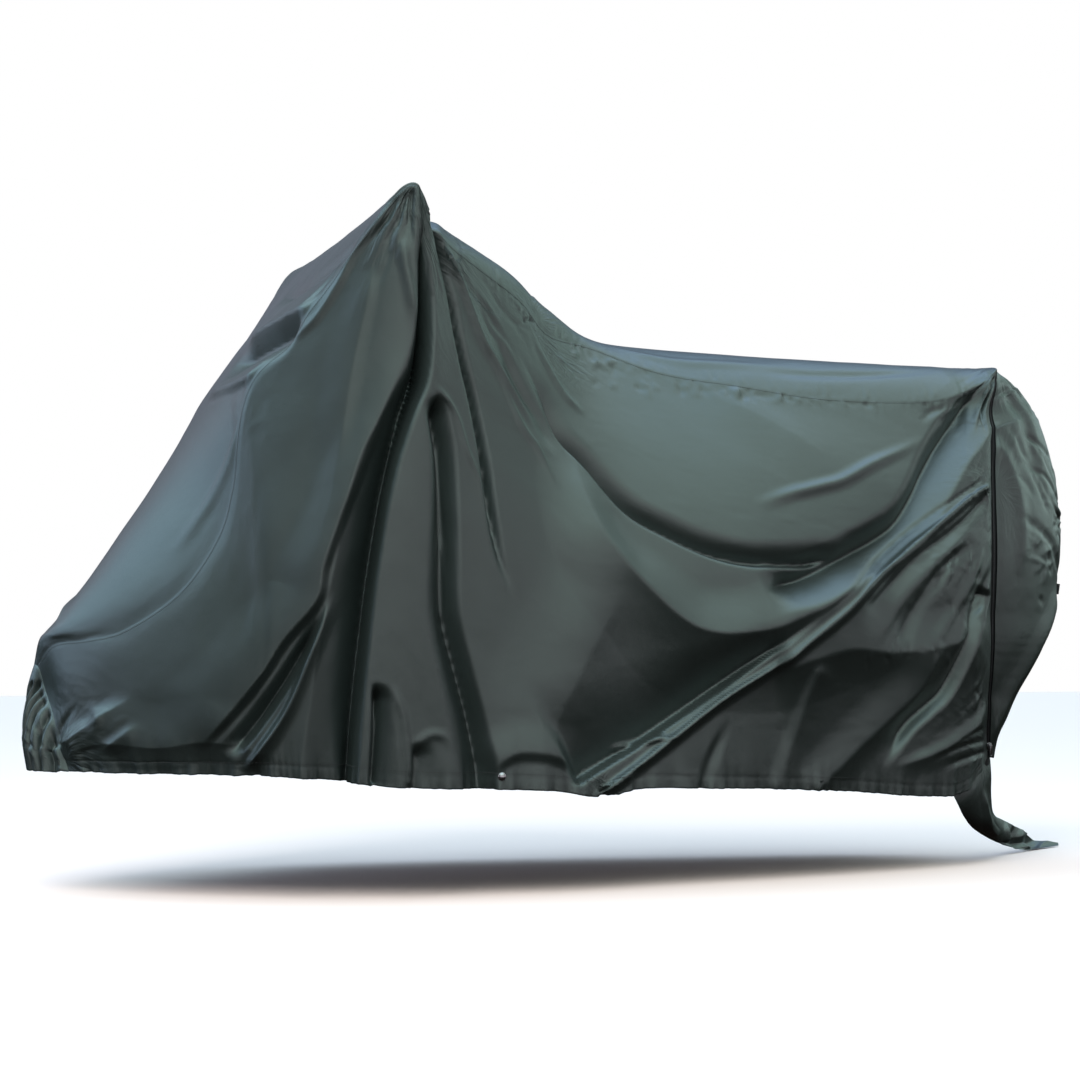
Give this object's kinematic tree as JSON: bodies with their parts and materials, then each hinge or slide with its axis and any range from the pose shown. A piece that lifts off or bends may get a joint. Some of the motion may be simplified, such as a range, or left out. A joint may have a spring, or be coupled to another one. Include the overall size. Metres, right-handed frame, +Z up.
{
  "type": "motorcycle cover",
  "caption": "Fitted cloth cover hanging over a motorcycle's shape, with high shoulders, low seat line, gathered nose, round tail with a zip, and a trailing rear flap.",
  "frame": {"origin": "on the floor under the middle of the cover's bounding box", "axes": "+X from nose to tail, +Y to the cover's right-hand side, +Z up"},
  "size_m": [2.2457, 0.8261, 1.1979],
  "materials": {
    "cloth": "coated, soft gloss",
    "zip": "matte tape and coil",
    "metal": "dull",
    "webbing": "matte woven"
  },
  "bodies": {
    "root": {"side_panel_left": "cloth", "side_panel_right": "cloth", "spine_panel": "cloth", "tail_panel": "cloth", "nose_gusset": "cloth", "rear_flap": "cloth", "zip": "zip", "zip_slider": "metal", "zip_pull": "metal", "press_stud": "metal", "tail_tab": "webbing"}
  },
  "joints": []
}
